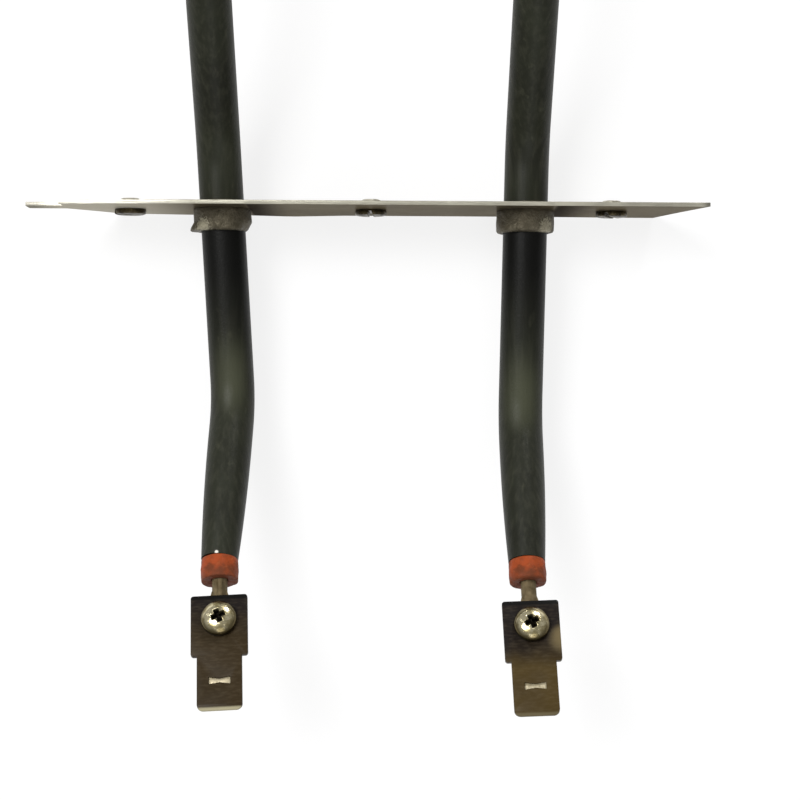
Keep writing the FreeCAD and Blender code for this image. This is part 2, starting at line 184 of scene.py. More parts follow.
def leg_corners(side):
    """The corners of a leg's axis in millimetres: open end, kink, both ends of the rise."""
    leg = legs[side]
    x = leg["plate_x"]
    kink = Vector((x + leg["inward"] * leg["inset"], -leg["reach"], -kink_drop))
    slope = (x - kink.x) / (plate_middle_y - kink.y)
    lift = kink_drop / (plate_middle_y - kink.y)
    run = rise_start - plate_middle_y
    rise = Vector((x + slope * run, rise_start, lift * run))
    splay = radians(leg["splay"])
    outward = Vector((-leg["inward"] * tan(splay), -1, tan(terminal_slope))).normalized()
    turn = (rise - kink).angle(-outward)
    end = kink + outward * (kink_radius * tan(turn / 2) + leg["straight"] + swage_length)
    level = Vector((x - leg["inward"] * loop_outset, rise_start + rise_run, rise_height))
    return [end, kink, rise, level]


def hairpin_curve(name, left, right, radii):
    """A curve through a hairpin's corners, each point's radius being its bend's radius."""
    crown_y = loop_reach - tube_radius
    half = (right[-1].x - left[-1].x) / 2
    top = [Vector((p.x, crown_y, p.z)) for p in (left[-1], right[-1])]
    corners = left + top + right[::-1]
    bends = [0] + radii + [half, half] + radii[::-1] + [0]
    line = bpy.data.curves.new(name, "CURVE")
    line.dimensions = "3D"
    spline = line.splines.new("POLY")
    spline.points.add(len(corners) - 1)
    for point, corner, bend in zip(spline.points, corners, bends):
        point.co = (*(corner * mm), 1)
        point.radius = bend * mm
    return add_object(name, line)


def geometry_tree(name, inputs):
    """An empty Geometry Nodes tree with named inputs for sizes, and a material's name."""
    tree = bpy.data.node_groups.new(name, "GeometryNodeTree")
    kinds = {float: "NodeSocketFloat", int: "NodeSocketInt", str: "NodeSocketMaterial"}
    tree.interface.new_socket("Geometry", in_out="INPUT", socket_type="NodeSocketGeometry")
    for label, value in inputs.items():
        tree.interface.new_socket(label, in_out="INPUT", socket_type=kinds[type(value)])
    tree.interface.new_socket("Geometry", in_out="OUTPUT", socket_type="NodeSocketGeometry")
    return tree, tree.nodes.new("NodeGroupInput"), tree.nodes.new("NodeGroupOutput")


def calculate_vector(tree, operation, first, second):
    """The vector that comes out of one Vector Math node."""
    sockets = {0: first, "Scale" if operation == "SCALE" else 1: second}
    return add_node(tree, "ShaderNodeVectorMath", sockets, operation=operation).outputs[0]


def finished_tree(tree, start, finish, geometry):
    """Close a tree with its geometry made real and painted with its material input."""
    real = add_node(tree, "GeometryNodeRealizeInstances", {0: geometry})
    sockets = {"Geometry": real.outputs[0], "Material": start.outputs["Finish"]}
    painted = add_node(tree, "GeometryNodeSetMaterial", sockets)
    tree.links.new(painted.outputs[0], finish.inputs[0])
    return tree


def set_inputs(piece, tree, values):
    """Put a tree on a piece as a modifier and give its inputs their values."""
    modifier = piece.modifiers.new(tree.name, "NODES")
    modifier.node_group = tree
    for socket in tree.interface.items_tree:
        if socket.in_out == "INPUT" and socket.name in values:
            modifier[socket.identifier] = values[socket.name]


def baked(piece, name):
    """A plain mesh object with what the piece's modifiers make of it, without the piece."""
    graph = bpy.context.evaluated_depsgraph_get()
    whole = {"preserve_all_data_layers": True, "depsgraph": graph}
    mesh = bpy.data.meshes.new_from_object(piece.evaluated_get(graph), **whole)
    mesh.name = name
    bpy.data.objects.remove(piece)
    return add_object(name, mesh)


def smooth(piece, angle):
    """Smooth shading with creases at edges that are sharper than the angle in degrees."""
    piece.data.shade_smooth()
    piece.data.set_sharp_from_angle(angle=radians(angle))


def new_finish(name, **constants):
    """A material with a Principled shader whose plain values are set on its own sockets."""
    material = bpy.data.materials.new(name)
    material.use_nodes = True
    tree = material.node_tree
    shader = tree.nodes["Principled BSDF"]
    for label, value in constants.items():
        shader.inputs[label.replace("_", " ")].default_value = value
    return material, tree, shader


def object_place(tree, place=None):
    """Object coordinates in millimetres, in the local frame of a place if one is given."""
    source = add_node(tree, "ShaderNodeTexCoord").outputs["Object"]
    out = calculate_vector(tree, "SCALE", source, 1 / mm)
    if place is None:
        return out
    turn = place.to_3x3().transposed().to_euler("XYZ")
    moved = calculate_vector(tree, "ADD", out, -place.translation)
    sockets = {"Vector": moved, "Rotation": turn}
    return add_node(tree, "ShaderNodeMapping", sockets, vector_type="POINT").outputs[0]


def axes_of(tree, where):
    """The three coordinates of a place as sockets named X, Y and Z."""
    return add_node(tree, "ShaderNodeSeparateXYZ", {0: where}).outputs


def length_of(tree, vector):
    """The length of a vector."""
    node = add_node(tree, "ShaderNodeVectorMath", {0: vector}, operation="LENGTH")
    return node.outputs["Value"]


def distance_from(tree, where, point):
    """How far a place lies from a point, in millimetres."""
    sockets = {0: where, 1: point}
    return add_node(tree, "ShaderNodeVectorMath", sockets, operation="DISTANCE").outputs["Value"]


def uneven_tone_group():
    """A soft-edged mask of patches or streaks, used for every finish's colour and gloss."""
    tree = bpy.data.node_groups.new("uneven_tone", "ShaderNodeTree")
    kinds = [("Vector", "NodeSocketVector"), ("Stretch", "NodeSocketVector")]
    kinds += [(label, "NodeSocketFloat") for label in ("Scale", "Detail", "Low", "High")]
    for label, kind in kinds:
        tree.interface.new_socket(label, in_out="INPUT", socket_type=kind)
    tree.interface.new_socket("Mask", in_out="OUTPUT", socket_type="NodeSocketFloat")
    start = add_node(tree, "NodeGroupInput").outputs
    place = calculate_vector(tree, "MULTIPLY", start["Vector"], start["Stretch"])
    sockets = {"Vector": place, "Scale": start["Scale"], "Detail": start["Detail"]}
    cloud = add_node(tree, "ShaderNodeTexNoise", sockets)
    sockets = {"Value": cloud.outputs[0], "From Min": start["Low"], "From Max": start["High"]}
    edge = add_node(tree, "ShaderNodeMapRange", sockets, interpolation_type="SMOOTHSTEP")
    add_node(tree, "NodeGroupOutput", {"Mask": edge.outputs[0]})
    return tree


uneven_tone = uneven_tone_group()


def tone(tree, where, scale, low, high, detail=3.0, stretch=(1, 1, 1)):
    """One use of the shared mask, its scale in waves per millimetre."""
    sockets = {
        "Vector": where, "Stretch": stretch, "Scale": scale,
        "Detail": detail, "Low": low, "High": high,
    }
    return add_node(tree, "ShaderNodeGroup", sockets, node_tree=uneven_tone).outputs["Mask"]


def mix_paint(tree, mask, first, second, share=1.0):
    """Two colours, or sockets with colours, mixed by a share of a mask."""
    if share != 1.0:
        mask = calculate(tree, "MULTIPLY", mask, share)
    sockets = {0: mask, 6: first, 7: second}
    return add_node(tree, "ShaderNodeMix", sockets, data_type="RGBA").outputs[2]


def ramp(tree, value, low, high):
    """A mask that rises smoothly from 0 at the low value to 1 at the high one."""
    sockets = {"Value": value, "From Min": low, "From Max": high}
    node = add_node(tree, "ShaderNodeMapRange", sockets, interpolation_type="SMOOTHSTEP")
    return node.outputs[0]


def dress(tree, shader, colour, roughness):
    """Give a shader its colour and its roughness."""
    tree.links.new(colour, shader.inputs["Base Color"])
    tree.links.new(roughness, shader.inputs["Roughness"])


def bump(tree, shader, height, depth, strength=1.0):
    """Fine relief, its depth in millimetres, on a shader's normal."""
    sockets = {"Height": height, "Distance": depth * mm, "Strength": strength}
    relief = add_node(tree, "ShaderNodeBump", sockets)
    tree.links.new(relief.outputs[0], shader.inputs["Normal"])


def upright_place(origin, heading):
    """A frame whose Y axis points along a heading and whose X axis stays level."""
    forward = heading.normalized()
    across = forward.cross(Vector((0, 0, 1))).normalized()
    turn = Matrix((across, forward, across.cross(forward))).transposed()
    return Matrix.Translation(origin) @ turn.to_4x4()


def end_place(side):
    """The frame of a leg's open end, Y pointing out of the tube."""
    end, kink = leg_corners(side)[:2]
    return upright_place(end, end - kink)


def sheath_finish():
    """Olive-black annealed steel with painted shade outside the collars and painted highlights.
    """
    values = {"Metallic": 0.0, "Specular_IOR_Level": 0.13}
    material, tree, shader = new_finish("olive_black_oxide", **values)
    where = object_place(tree)
    patches = tone(tree, where, 0.09, 0.35, 0.68, 4.0)
    streaks = tone(tree, where, 1.6, 0.4, 0.75, 3.0, (1, 0.05, 1))
    grain = tone(tree, where, 5.0, 0.3, 0.7, 4.0)
    scuffs = tone(tree, where, 0.8, 0.62, 0.74, 6.0, (1, 0.35, 1))
    base = mix_paint(tree, patches, paint("#1d1e17"), paint("#26281e"))
    base = mix_paint(tree, streaks, base, paint("#3a3a30"), 0.35)
    base = mix_paint(tree, scuffs, base, paint("#5c5c4c"), 0.15)
    along = axes_of(tree, where)["Y"]
    # Painted shade: the tube is painted near black on the terminal side just outside the collars,
    # fading out towards the kinks.
    outside = ramp(tree, along, -1.0, -3.5)
    darkened_zone = calculate(tree, "MULTIPLY", ramp(tree, along, -26.0, -8.0), outside)
    base = mix_paint(tree, darkened_zone, base, paint("#050504"), 0.97)
    # Painted highlight: a lighter olive sheen painted over the top of each kink.
    for side in sides:
        kink = leg_corners(side)[1]
        kink_sheen_centre = (kink.x, kink.y + 3.5, kink.z + tube_radius)
        off = calculate_vector(tree, "SUBTRACT", where, kink_sheen_centre)
        off = length_of(tree, calculate_vector(tree, "MULTIPLY", off, (1.0, 0.4, 1.0)))
        base = mix_paint(tree, ramp(tree, off, 3.6, 0.2), base, paint("#464838"), 0.7)
    # Painted highlight: a small near-white glint painted on the rim of the left end.
    painted_glint_spot = (0.3, -0.14, 2.6)
    off = distance_from(tree, object_place(tree, end_place("left")), painted_glint_spot)
    base = mix_paint(tree, ramp(tree, off, 0.36, 0.12), base, paint("#dcd8cc"))
    rough = calculate(tree, "MULTIPLY_ADD", grain, 0.08, 0.34)
    dress(tree, shader, base, calculate(tree, "MULTIPLY_ADD", patches, 0.06, rough))
    bump(tree, shader, calculate(tree, "MULTIPLY_ADD", streaks, 0.6, grain), 0.012)
    return material


def rounded_line(tree, start, step):
    """A tree's input curve in even steps, each corner rounded by its own bend radius."""
    bend = add_node(tree, "GeometryNodeInputRadius")
    sockets = {"Curve": start.outputs["Geometry"], "Count": 40, "Radius": bend.outputs[0]}
    rounded = add_node(tree, "GeometryNodeFilletCurve", sockets, mode="POLY")
    sockets = {"Curve": rounded.outputs[0], "Length": step}
    return add_node(tree, "GeometryNodeResampleCurve", sockets, mode="LENGTH").outputs[0]


def tube_tree():
    """A bent tube along a rounded line, both ends drawn down."""
    inputs = {"Radius": 0.0, "Draw Length": 0.0, "Draw Depth": 0.0, "Step": 0.0, "Sides": 0}
    tree, start, finish = geometry_tree("bent_tube", {**inputs, "Finish": ""})
    even = rounded_line(tree, start, start.outputs["Step"])
    along = add_node(tree, "GeometryNodeSplineParameter").outputs["Length"]
    total = add_node(tree, "GeometryNodeSplineLength").outputs["Length"]
    nearest = calculate(tree, "MINIMUM", along, calculate(tree, "SUBTRACT", total, along))
    share = calculate(tree, "DIVIDE", nearest, start.outputs["Draw Length"])
    drawn = calculate(tree, "MAXIMUM", calculate(tree, "SUBTRACT", 1.0, share), 0.0)
    square = calculate(tree, "MULTIPLY", drawn, drawn)
    loss = calculate(tree, "MULTIPLY", square, start.outputs["Draw Depth"])
    radius = calculate(tree, "SUBTRACT", start.outputs["Radius"], loss)
    sockets = {"Resolution": start.outputs["Sides"], "Radius": 1.0}
    circle = add_node(tree, "GeometryNodeCurvePrimitiveCircle", sockets)
    sockets = {"Curve": even, "Profile Curve": circle.outputs["Curve"], "Scale": radius}
    tube = add_node(tree, "GeometryNodeCurveToMesh", sockets)
    return finished_tree(tree, start, finish, tube.outputs[0])


sheath_sizes = {
    "Radius": tube_radius * mm, "Draw Length": swage_length * mm,
    "Draw Depth": swage_depth * mm, "Step": 0.8 * mm, "Sides": 48, "Finish": sheath_finish(),
}
bends = [kink_radius, rise_radius, rise_radius]
sheath_line = hairpin_curve("sheath_line", leg_corners("left"), leg_corners("right"), bends)
set_inputs(sheath_line, tube_tree(), sheath_sizes)
wall = sheath_line.modifiers.new("wall", "SOLIDIFY")
wall.thickness = tube_wall * mm
wall.offset = -1.0
sheath = baked(sheath_line, "sheath_tube_drawn")
smooth(sheath, 50)
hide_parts("sheath_tube")
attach(sheath, "root")


# Resistance coil and packed powder
# The heating wire is wound close and lies in the middle of the tube's bore, in pressed
# magnesia powder. Both are hidden; the powder keeps its solid from the frame.
def coil_finish():
    """Bright resistance wire with a thin straw-coloured oxide."""
    material, tree, shader = new_finish("resistance_wire", Metallic=1.0)
    where = object_place(tree)
    stain = tone(tree, where, 0.7, 0.4, 0.65)
    colour = mix_paint(tree, stain, paint("#8f8a80"), paint("#7c6d55"))
    dress(tree, shader, colour, calculate(tree, "MULTIPLY_ADD", stain, 0.12, 0.28))
    return material


def coil_tree():
    """A close helix round a bent line, in round wire."""
    inputs = {"Coil Radius": 0.0, "Wire Radius": 0.0, "Pitch": 0.0, "Steps": 0}
    tree, start, finish = geometry_tree("close_helix", {**inputs, "Finish": ""})
    step = calculate(tree, "DIVIDE", start.outputs["Pitch"], start.outputs["Steps"])
    even = rounded_line(tree, start, step)
    along = add_node(tree, "GeometryNodeSplineParameter").outputs["Length"]
    turns = calculate(tree, "DIVIDE", along, start.outputs["Pitch"])
    angle = calculate(tree, "MULTIPLY", turns, 2 * pi)
    tangent = add_node(tree, "GeometryNodeInputTangent").outputs[0]
    normal = add_node(tree, "GeometryNodeInputNormal").outputs[0]
    sockets = {"Vector": normal, "Axis": tangent, "Angle": angle}
    spun = add_node(tree, "ShaderNodeVectorRotate", sockets, rotation_type="AXIS_ANGLE")
    offset = calculate_vector(tree, "SCALE", spun.outputs[0], start.outputs["Coil Radius"])
    sockets = {"Geometry": even, "Offset": offset}
    wound = add_node(tree, "GeometryNodeSetPosition", sockets)
    circle = add_node(tree, "GeometryNodeCurvePrimitiveCircle", {"Resolution": 6, "Radius": 1.0})
    sockets = {
        "Curve": wound.outputs[0], "Profile Curve": circle.outputs["Curve"],
        "Scale": start.outputs["Wire Radius"], "Fill Caps": True,
    }
    wire = add_node(tree, "GeometryNodeCurveToMesh", sockets)
    return finished_tree(tree, start, finish, wire.outputs[0])


coil_start = 9.0
coil_ends = []
for side in sides:
    rise, level = leg_corners(side)[2:]
    coil_ends.append([rise + (level - rise).normalized() * coil_start, level])
coil_line = hairpin_curve("coil_line", *coil_ends, [rise_radius])
coil_sizes = {
    "Coil Radius": 1.32 * mm, "Wire Radius": 0.19 * mm, "Pitch": 0.8 * mm, "Steps": 10,
    "Finish": coil_finish(),
}
set_inputs(coil_line, coil_tree(), coil_sizes)
coil = baked(coil_line, "resistance_coil_wound")
smooth(coil, 80)
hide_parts("resistance_coil")
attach(coil, "root")

powder, tree, shader = new_finish("packed_powder", Roughness=0.9)
grains = tone(tree, object_place(tree), 2.4, 0.3, 0.7, 5.0)
powder_colour = mix_paint(tree, grains, paint("#cfc9bb"), paint("#e8e3d8"))
tree.links.new(powder_colour, shader.inputs["Base Color"])
bump(tree, shader, grains, 0.05)
powder_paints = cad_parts["insulation_fill"].data.materials
powder_paints.clear()
powder_paints.append(powder)


# Terminal pins
# A round steel pin leaves each end of the tube and is flattened to a palm under the tab.
# The pins keep their shape from the frame, with the edges of the palm softened.
def terminal_place(side):
    """The frame of pin, seal, tab and screw: Y outwards, Z up through the tab."""
    lean = radians(legs[side]["lean"])
    level_share = cos(lean)
    heading = Vector((
        sin(lean), -level_share * cos(terminal_slope), level_share * sin(terminal_slope),
    ))
    return upright_place(leg_corners(side)[0], heading)


merge_distance = 0.002


def softened_copy(node, name, width, material):
    """A copy of a frame node's mesh, merged, its flat faces made whole and its edges rounded."""
    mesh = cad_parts[node].data.copy()
    mesh.name = name
    shape = bmesh.new()
    shape.from_mesh(mesh)
    bmesh.ops.remove_doubles(shape, verts=shape.verts, dist=merge_distance * mm)
    limits = {"angle_limit": radians(1.0), "verts": shape.verts, "edges": shape.edges}
    bmesh.ops.dissolve_limit(shape, **limits)
    bmesh.ops.recalc_face_normals(shape, faces=shape.faces)
    shape.to_mesh(mesh)
    shape.free()
    mesh.materials.clear()
    mesh.materials.append(material)
    mesh.shade_smooth()
    piece = add_object(name, mesh)
    rounding = piece.modifiers.new("rounding", "BEVEL")
    rounding.width = width * mm
    rounding.segments = 3
    rounding.limit_method = "ANGLE"
    rounding.angle_limit = radians(40)
    return baked(piece, name)


def pin_finish():
    """Dull grey-olive steel with faint drawing lines, slightly stained by heat."""
    values = {"Metallic": 0.3, "Specular_IOR_Level": 0.12}
    material, tree, shader = new_finish("dull_pin_steel", **values)
    where = object_place(tree)
    stain = tone(tree, where, 0.9, 0.35, 0.65, 4.0)
    lines = tone(tree, where, 6.0, 0.35, 0.7, 2.0, (1, 0.15, 1))
    colour = mix_paint(tree, stain, paint("#6f6248"), paint("#574b34"))
    colour = mix_paint(tree, lines, colour, paint("#978b74"), 0.1)
    dress(tree, shader, colour, calculate(tree, "MULTIPLY_ADD", lines, 0.1, 0.52))
    bump(tree, shader, lines, 0.01)
    return material


pin_steel = pin_finish()
for side in sides:
    node = "terminal_pin_" + side
    pin = softened_copy(node, node + "_shaped", 0.08, pin_steel)
    smooth(pin, 25)
    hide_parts(node)
    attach(pin, "root")


# End seals
# A soft orange-red rubber sleeve closes each tube end round its pin, with a plug inside
# the tube. It is moulded by hand, so its skin is mottled and its rim uneven.
def skin_of_rings(name, rings, place, material, loop=False):
    """A closed skin over rings of points in millimetres; a ring of one point closes an end."""
    points, starts = [], []
    for ring in rings:
        starts.append(len(points))
        points.extend(ring)
    pairs = list(zip(range(len(rings)), range(1, len(rings))))
    if loop:
        pairs.append((len(rings) - 1, 0))
    faces = []
    for first, second in pairs:
        count = max(len(rings[first]), len(rings[second]))
        for number in range(count):
            after = (number + 1) % count
            face = []
            for ring, order in ((first, (number, after)), (second, (after, number))):
                single = len(rings[ring]) == 1
                face += [starts[ring]] if single else [starts[ring] + at for at in order]
            faces.append(face)
    mesh = bpy.data.meshes.new(name)
    mesh.from_pydata(points, [], faces)
    if place is not None:
        mesh.transform(place)
    mesh.transform(Matrix.Scale(mm, 4))
    shape = bmesh.new()
    shape.from_mesh(mesh)
    bmesh.ops.recalc_face_normals(shape, faces=shape.faces)
    shape.to_mesh(mesh)
    shape.free()
    mesh.materials.append(material)
    return add_object(name, mesh)


def turns_of(count):
    """Evenly spaced angles round a circle."""
    return [2 * pi * number / count for number in range(count)]


def steps_between(low, high, count):
    """Evenly spaced values, both ends included."""
    return [low + (high - low) * number / (count - 1) for number in range(count)]


def seal_finish(side):
    """Orange-red rubber, mottled and a little dusty, browner on the end round the pin."""
    material, tree, shader = new_finish("seal_rubber_" + side, Specular_IOR_Level=0.08)
    where = object_place(tree, terminal_place(side))
    mottle = tone(tree, where, 0.6, 0.36, 0.62, 4.0)
    specks = tone(tree, where, 2.2, 0.55, 0.68, 5.0)
    colour = mix_paint(tree, mottle, paint("#90401f"), paint("#70341a"))
    colour = mix_paint(tree, specks, colour, paint("#a85c34"), 0.3)
    down = calculate(tree, "MULTIPLY_ADD", mottle, 0.8, axes_of(tree, where)["Y"])
    colour = mix_paint(tree, ramp(tree, down, 1.0, 4.2), colour, paint("#553222"), 0.75)
    dress(tree, shader, colour, calculate(tree, "MULTIPLY_ADD", mottle, 0.15, 0.45))
    bump(tree, shader, calculate(tree, "ADD", mottle, specks), 0.05, 0.7)
    return material


def share_between(value, low, high):
    """0 at or below a low value, 1 at or above a high one, and even in between."""
    return max(0.0, min(1.0, (value - low) / (high - low)))


seal_radius = 2.72
seal_length = 3.35
seal_rim = {"left": 0.16, "right": 0.42}
seal_bore = 1.14
plug_radius = 2.0
plug_depth = 3.95
for side in sides:
    plug = [(seal_bore, 0.0), (seal_bore, -3.9), (1.95, -plug_depth), (plug_radius, -3.8)]
    plug += [(plug_radius, -2.0), (plug_radius, 0.06), (2.2, 0.05)]
    sleeve = [(2.5, 0.05), (2.6, 0.08), (2.66, 0.2)]
    for y in (0.45, 0.8, 1.2, 1.6, 2.0, 2.3):
        sleeve.append((seal_radius - 0.02 * ((y - 1.5) / 1.5) ** 2, y))
    rim = seal_rim[side]
    for angle in steps_between(0, pi / 2, 5):
        radius = seal_radius - rim * (1 - cos(angle))
        sleeve.append((radius, seal_length - rim * (1 - sin(angle))))
    sleeve += [(1.8, 3.36), (1.4, 3.3), (1.2, 3.2), (seal_bore, 3.05)]
    rings = []
    outline = [(end_place(side), *point) for point in plug]
    outline += [(terminal_place(side), *point) for point in sleeve]
    for place, radius, y in outline:
        ring = []
        for angle in turns_of(72):
            wobble = noise.noise(Vector((2.2 * cos(angle), 2.2 * sin(angle), y * 0.9)) * 0.9)
            lumps = noise.noise(Vector((radius * cos(angle), y, radius * sin(angle))) * 1.7)
            proud = share_between(radius, 2.05, 2.45) * share_between(y, 0.0, 0.3)
            r = radius - proud * (0.05 + 0.09 * wobble + 0.05 * lumps)
            out = y - 0.1 * max(0.0, wobble) * share_between(y, 2.4, 2.9)
            ring.append(place @ Vector((r * cos(angle), out, r * sin(angle))))
        rings.append(ring)
    seal = skin_of_rings("end_seal_" + side + "_moulded", rings, None, seal_finish(side), True)
    smooth(seal, 60)
    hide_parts("end_seal_" + side)
    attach(seal, "root")


# Tabs
# A push-on tab of nickel-plated sheet on each palm: a wide body under the screw and a
# narrower blade with a bevelled tip. Its slot is closed by a thin beige web, painted shade
# that stands in for the shaded table seen through the slot. The plating has gone brown.
tab_body_length = 9.0
blade_length = 7.9


def tab_finish(side, lower, patch, tip_reflection, dark_end, side_sheen):
    """Browned nickel: near black at the inner edge, olive further out, a painted tip reflection.
    """
    material, tree, shader = new_finish("browned_nickel_" + side, Specular_IOR_Level=0.1)
    where = object_place(tree, terminal_place(side))
    out = axes_of(tree, where)["Y"]
    start = legs[side]["tab_start"]
    tip = start + tab_body_length + blade_length
    cloud = tone(tree, where, 0.14, 0.35, 0.65, 2.0)
    fine = tone(tree, where, 3.0, 0.4, 0.72, 3.0, (0.3, 1, 1))
    down = calculate(tree, "MULTIPLY_ADD", cloud, 2.5, out)
    dark = paint("#181311")
    colour = mix_paint(tree, cloud, paint(lower), paint(patch), 0.5)
    dark_from, dark_to = start + dark_end - 3.0, start + dark_end + 1.5
    colour = mix_paint(tree, ramp(tree, down, dark_from, dark_to), dark, colour)
    # Painted highlight: a paler sheen patch painted on the side of the tab's body.
    side_sheen_centre = (-4.1, start + 5.4, 1.2)
    off = distance_from(tree, where, side_sheen_centre)
    off = calculate(tree, "MULTIPLY_ADD", cloud, 1.2, off)
    colour = mix_paint(tree, ramp(tree, off, 3.2, 1.0), colour, paint("#6b5e42"), side_sheen)
    colour = mix_paint(tree, fine, colour, paint("#8a7c62"), 0.05)
    edge = ramp(tree, out, start + 0.45, start + 0.8)
    colour = mix_paint(tree, edge, paint("#080706"), colour)
    # Painted reflection: the bevelled tip is painted pale, as it reflects the bright room.
    tip_reflection_mask = ramp(tree, out, tip - 0.6, tip - 0.25)
    colour = mix_paint(tree, tip_reflection_mask, colour, paint("#a8a184"), tip_reflection)
    rough = calculate(tree, "MULTIPLY_ADD", cloud, 0.1, 0.3)
    dress(tree, shader, colour, calculate(tree, "MULTIPLY_ADD", fine, 0.06, rough))
    bump(tree, shader, fine, 0.002)
    return material


# The web's beige is painted shade, standing in for the shaded table seen through the slot.
slot_shade_finish, tree, shader = new_finish("slot_shade_web", Metallic=0.5)
where = object_place(tree)
cloud = tone(tree, where, 1.2, 0.35, 0.65, 3.0)
web_colour = mix_paint(tree, cloud, paint("#b9ae92"), paint("#94896d"))
dress(tree, shader, web_colour, calculate(tree, "MULTIPLY_ADD", cloud, 0.2, 0.4))
bump(tree, shader, cloud, 0.02)

slot_half = 1.53
slot_end = 0.55
slot_waist = 0.33
slot_setback = 4.3
web_bottom, web_edge, web_top = 0.7, 0.95, 1.0
# Each tab's shares also set how strongly its painted tip reflection and painted side sheen show.
tab_looks = {
    "left": {
        "lower": "#2f2515", "patch": "#282012", "tip_reflection": 0.8, "dark_end": 6.5, "side_sheen": 0.0,
    },
    "right": {
        "lower": "#43361b", "patch": "#332816", "tip_reflection": 0.15, "dark_end": 9.5, "side_sheen": 0.8,
    },
}
for side in sides:
    node = "tab_" + side
    tab = softened_copy(node, node + "_stamped", 0.09, tab_finish(side, **tab_looks[side]))
    smooth(tab, 20)
    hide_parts(node)
    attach(tab, "root")

    middle = legs[side]["tab_start"] + tab_body_length + blade_length - slot_setback
    corners = []
    for x, half in ((-slot_half, slot_end), (0, slot_waist), (slot_half, slot_end)):
        corners.append((x, middle - half))
    for x, half in ((slot_half, slot_end), (0, slot_waist), (-slot_half, slot_end)):
        corners.append((x, middle + half))
    rings = [[Vector((0, middle, web_bottom))]]
    for z in (web_bottom, web_edge):
        rings.append([Vector((x, y, z)) for x, y in corners])
    rings.append([Vector((0.6 * x, middle + 0.6 * (y - middle), web_top)) for x, y in corners])
    rings.append([Vector((0, middle, web_top))])
    web = skin_of_rings(node + "_web", rings, terminal_place(side), slot_shade_finish)
    smooth(web, 30)
    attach(web, "root")


# Tab screws and nuts
# A nickel-plated pan-head screw with a cross recess clamps tab and palm against a
# hexagon nut below. Painted shade darkens the recess and the rim of the head, and the head
# is painted darker towards its foot.
def level_ring(radius, z, count):
    """An even ring of points at one level."""
    return [Vector((radius * cos(a), radius * sin(a), z)) for a in turns_of(count)]


def head_rings(level, radius, first, rows, count):
    """Rings over a screw head, from its middle outwards, with its height at each point."""
    rings = [[Vector((0, 0, level(0, 0)))]]
    for r in steps_between(first, radius, rows):
        flat = [(r * cos(angle), r * sin(angle)) for angle in turns_of(count)]
        rings.append([Vector((x, y, level(x, y))) for x, y in flat])
    return rings


def shank_rings(radius, top, bottom, pitch, depth, count):
    """Rings of a threaded shank from its top to a rounded bottom, ending in one point."""
    rings = []
    levels = ceil((top - bottom) / pitch * 6)
    for z in steps_between(top, bottom + 0.15, levels):
        ring = []
        for angle in turns_of(count):
            phase = (z / pitch - angle / (2 * pi)) % 1.0
            r = radius - depth * (1 - abs(2 * phase - 1)) * min(1.0, (top - z) / 0.2)
            ring.append(Vector((r * cos(angle), r * sin(angle), z)))
        rings.append(ring)
    rings.append(level_ring(radius - 0.3, bottom, count))
    rings.append([Vector((0, 0, bottom))])
    return rings


palm_half = 0.5
tab_thickness = 0.8
eye_setback = 3.7


def eye_place(side, height):
    """The frame of the palm's eye at a height, where screw and nut are."""
    shift = (0, legs[side]["tab_start"] + eye_setback, height)
    return terminal_place(side) @ Matrix.Translation(shift)


def screw_finish(side):
    """Bright nickel with wear on the head, cream at its ring, painted shade at rim and recess."""
    material, tree, shader = new_finish("worn_nickel_" + side, Metallic=0.95)
    where = object_place(tree, eye_place(side, palm_half + tab_thickness))
    split = axes_of(tree, where)
    wear = tone(tree, where, 0.9, 0.38, 0.62, 4.0)
    pits = tone(tree, where, 3.2, 0.58, 0.7, 4.0)
    colour = mix_paint(tree, wear, paint("#d6ccaa"), paint("#9a8e68"))
    colour = mix_paint(tree, pits, colour, paint("#6a5c40"), 0.3)
    flat = add_node(tree, "ShaderNodeCombineXYZ", {0: split["X"], 1: split["Y"]}).outputs[0]
    away = length_of(tree, flat)
    # Painted shade: the rim of the head is painted darker.
    colour = mix_paint(tree, ramp(tree, away, 1.7, 2.45), colour, paint("#5b5136"))
    # Painted shade: the middle of the head round the recess is painted dark.
    colour = mix_paint(tree, ramp(tree, away, 1.1, 0.5), colour, paint("#2a231a"), 0.6)
    # Painted shade: the cross recess is painted near black.
    inside = ramp(tree, away, 1.75, 1.3)
    low = ramp(tree, split["Z"], 1.6, 1.0)
    recess = calculate(tree, "MULTIPLY", inside, low)
    colour = mix_paint(tree, recess, colour, paint("#16120d"))
    # The head is painted darker towards its foot.
    foot = ramp(tree, split["Z"], 0.7, 0.2)
    colour = mix_paint(tree, foot, colour, paint("#241d13"))
    dress(tree, shader, colour, calculate(tree, "MULTIPLY_ADD", wear, 0.12, 0.14))
    bump(tree, shader, pits, -0.012)
    return material


head_radius = 2.55
head_height = 1.9
recess_turn = radians(20)
recess_half_width = 0.3
recess_half_span = 0.95
recess_depth = 1.15


def head_level(x, y):
    """Height of the pan head's top, less the cross recess, at a point from its middle."""
    away = min(1.0, hypot(x, y) / head_radius)
    dome = head_height * (0.34 + 0.66 * (1 - away ** 2.6) ** 0.6)
    across = x * cos(recess_turn) + y * sin(recess_turn)
    along = -x * sin(recess_turn) + y * cos(recess_turn)
    depth = 0.0
    for wide, long in ((across, along), (along, across)):
        side_share = (recess_half_width - abs(wide)) / 0.3 + 0.5
        end_share = (recess_half_span - abs(long)) / 0.45 + 0.3
        share = max(0.0, min(1.0, side_share, end_share))
        depth = max(depth, share * share * (3 - 2 * share))
    return dome - recess_depth * depth * (1 - 0.25 * away)


